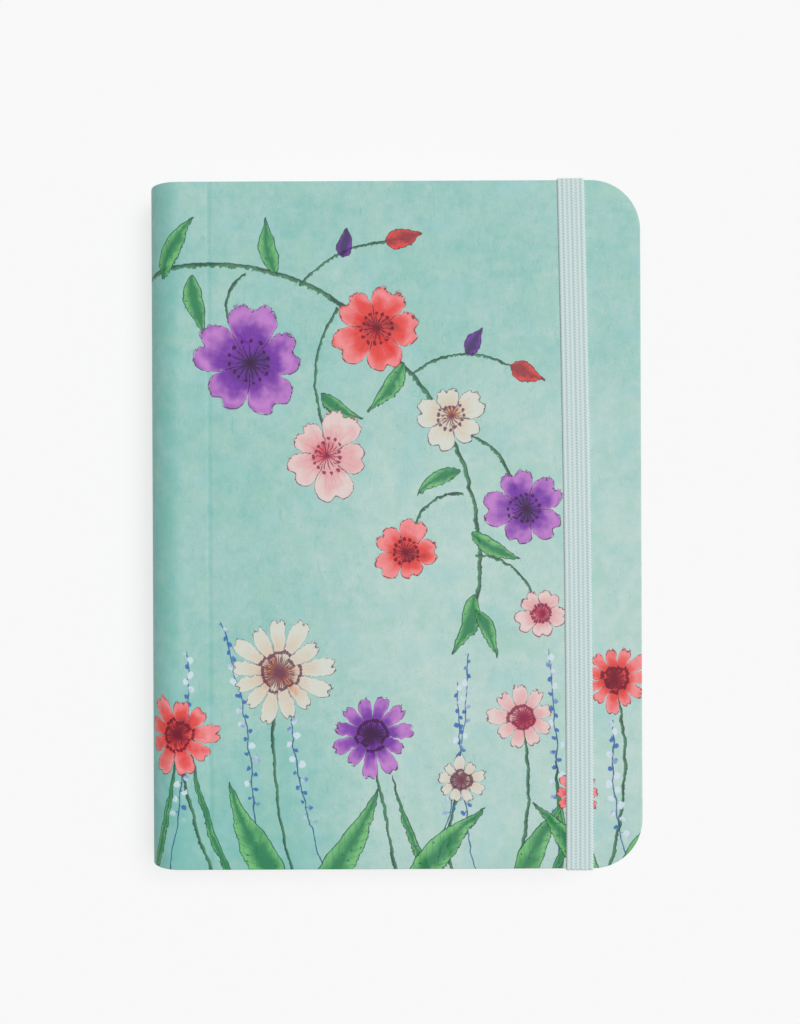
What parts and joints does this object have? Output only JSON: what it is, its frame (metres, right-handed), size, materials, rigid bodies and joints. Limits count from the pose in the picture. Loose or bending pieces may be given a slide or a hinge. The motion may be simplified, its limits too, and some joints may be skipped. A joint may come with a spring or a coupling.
{
  "type": "address book",
  "caption": "Casebound address book with a round spine, rounded fore-edge corners, a creased cover hinge, stepped index tabs and an elastic band that holds it shut.",
  "frame": {"origin": "middle of the closed book's outline, on the outer face of the back cover", "axes": "+X from the spine to the fore-edge, +Y from the foot to the head, +Z from the back cover to the front cover"},
  "size_m": [0.128, 0.18, 0.0182],
  "materials": {
    "printed_cover": "matte printed paper, mottled mint green",
    "grey_board": "grey bookbinding board",
    "spine_card": "flexible card",
    "endpaper": "smooth uncoated paper",
    "page_paper": "uncoated writing paper",
    "divider_card": "laminated card",
    "gauze": "open-weave cotton",
    "lining_paper": "kraft paper",
    "headband_cloth": "rolled cloth",
    "elastic": "knitted elastic"
  },
  "bodies": {
    "case": {"case_wrap": "printed_cover", "back_board": "grey_board", "back_pastedown": "endpaper", "front_hinge_strip": "grey_board", "back_hinge_strip": "grey_board", "spine_card": "spine_card", "mull": "gauze", "spine_lining": "lining_paper", "headband": "headband_cloth", "tailband": "headband_cloth", "sewn_gutter": "page_paper", "back_flyleaf": "endpaper", "band_tail_head": "elastic", "band_tail_foot": "elastic"},
    "front_cover": {"front_wrap": "printed_cover", "front_board": "grey_board", "front_pastedown": "endpaper"},
    "flyleaf": {"front_flyleaf": "endpaper"},
    "leaves_ab": {"pages_ab": "page_paper", "divider_ab": "divider_card"},
    "leaves_cd": {"pages_cd": "page_paper", "divider_cd": "divider_card"},
    "leaves_ef": {"pages_ef": "page_paper", "divider_ef": "divider_card"},
    "leaves_gh": {"pages_gh": "page_paper", "divider_gh": "divider_card"},
    "leaves_ij": {"pages_ij": "page_paper", "divider_ij": "divider_card"},
    "leaves_kl": {"pages_kl": "page_paper", "divider_kl": "divider_card"},
    "leaves_mn": {"pages_mn": "page_paper", "divider_mn": "divider_card"},
    "leaves_op": {"pages_op": "page_paper", "divider_op": "divider_card"},
    "leaves_qr": {"pages_qr": "page_paper", "divider_qr": "divider_card"},
    "leaves_st": {"pages_st": "page_paper", "divider_st": "divider_card"},
    "leaves_uv": {"pages_uv": "page_paper", "divider_uv": "divider_card"},
    "leaves_wx": {"pages_wx": "page_paper", "divider_wx": "divider_card"},
    "leaves_yz": {"pages_yz": "page_paper", "divider_yz": "divider_card"},
    "band": {"elastic_band": "elastic"}
  },
  "joints": [
    {"name": "front_cover_hinge", "type": "hinge", "parent": "case", "child": "front_cover", "pos_m": [-0.0476, 0, 0.01745], "axis": [0, -1, 0], "range_deg": [0, 180], "deforming": ["elastic_band"]},
    {"name": "flyleaf_turn", "type": "hinge", "parent": "case", "child": "flyleaf", "pos_m": [-0.0476, 0, 0.01528], "axis": [0, -1, 0], "range_deg": [0, 84]},
    {"name": "leaves_ab_turn", "type": "hinge", "parent": "case", "child": "leaves_ab", "pos_m": [-0.0476, 0, 0.01465], "axis": [0, -1, 0], "range_deg": [0, 72]},
    {"name": "leaves_cd_turn", "type": "hinge", "parent": "case", "child": "leaves_cd", "pos_m": [-0.0476, 0, 0.01365], "axis": [0, -1, 0], "range_deg": [0, 61.35]},
    {"name": "leaves_ef_turn", "type": "hinge", "parent": "case", "child": "leaves_ef", "pos_m": [-0.0476, 0, 0.01265], "axis": [0, -1, 0], "range_deg": [0, 51.55]},
    {"name": "leaves_gh_turn", "type": "hinge", "parent": "case", "child": "leaves_gh", "pos_m": [-0.0476, 0, 0.01165], "axis": [0, -1, 0], "range_deg": [0, 42.6]},
    {"name": "leaves_ij_turn", "type": "hinge", "parent": "case", "child": "leaves_ij", "pos_m": [-0.0476, 0, 0.01065], "axis": [0, -1, 0], "range_deg": [0, 34.51]},
    {"name": "leaves_kl_turn", "type": "hinge", "parent": "case", "child": "leaves_kl", "pos_m": [-0.0476, 0, 0.00965], "axis": [0, -1, 0], "range_deg": [0, 27.27]},
    {"name": "leaves_mn_turn", "type": "hinge", "parent": "case", "child": "leaves_mn", "pos_m": [-0.0476, 0, 0.00865], "axis": [0, -1, 0], "range_deg": [0, 20.88]},
    {"name": "leaves_op_turn", "type": "hinge", "parent": "case", "child": "leaves_op", "pos_m": [-0.0476, 0, 0.00765], "axis": [0, -1, 0], "range_deg": [0, 15.34]},
    {"name": "leaves_qr_turn", "type": "hinge", "parent": "case", "child": "leaves_qr", "pos_m": [-0.0476, 0, 0.00665], "axis": [0, -1, 0], "range_deg": [0, 10.65]},
    {"name": "leaves_st_turn", "type": "hinge", "parent": "case", "child": "leaves_st", "pos_m": [-0.0476, 0, 0.00565], "axis": [0, -1, 0], "range_deg": [0, 6.82]},
    {"name": "leaves_uv_turn", "type": "hinge", "parent": "case", "child": "leaves_uv", "pos_m": [-0.0476, 0, 0.00465], "axis": [0, -1, 0], "range_deg": [0, 3.83]},
    {"name": "leaves_wx_turn", "type": "hinge", "parent": "case", "child": "leaves_wx", "pos_m": [-0.0476, 0, 0.00365], "axis": [0, -1, 0], "range_deg": [0, 1.7]},
    {"name": "leaves_yz_turn", "type": "hinge", "parent": "case", "child": "leaves_yz", "pos_m": [-0.0476, 0, 0.00265], "axis": [0, -1, 0], "range_deg": [0, 0.43]},
    {"name": "band_release", "type": "slide", "parent": "case", "child": "band", "axis": [0, 0, -1], "range_m": [0, 0.0183]}
  ],
  "couplings": [
    {"joint": "flyleaf_turn", "follows": "front_cover_hinge", "ratio": 0.46667},
    {"joint": "leaves_ab_turn", "follows": "front_cover_hinge", "ratio": 0.4},
    {"joint": "leaves_cd_turn", "follows": "front_cover_hinge", "ratio": 0.34083},
    {"joint": "leaves_ef_turn", "follows": "front_cover_hinge", "ratio": 0.28639},
    {"joint": "leaves_gh_turn", "follows": "front_cover_hinge", "ratio": 0.23667},
    {"joint": "leaves_ij_turn", "follows": "front_cover_hinge", "ratio": 0.19172},
    {"joint": "leaves_kl_turn", "follows": "front_cover_hinge", "ratio": 0.1515},
    {"joint": "leaves_mn_turn", "follows": "front_cover_hinge", "ratio": 0.116},
    {"joint": "leaves_op_turn", "follows": "front_cover_hinge", "ratio": 0.085222},
    {"joint": "leaves_qr_turn", "follows": "front_cover_hinge", "ratio": 0.059166},
    {"joint": "leaves_st_turn", "follows": "front_cover_hinge", "ratio": 0.037888},
    {"joint": "leaves_uv_turn", "follows": "front_cover_hinge", "ratio": 0.021277},
    {"joint": "leaves_wx_turn", "follows": "front_cover_hinge", "ratio": 0.009444},
    {"joint": "leaves_yz_turn", "follows": "front_cover_hinge", "ratio": 0.002388},
    {"joint": "band_release", "follows": "front_cover_hinge", "m_per_rad": 0.005824}
  ]
}
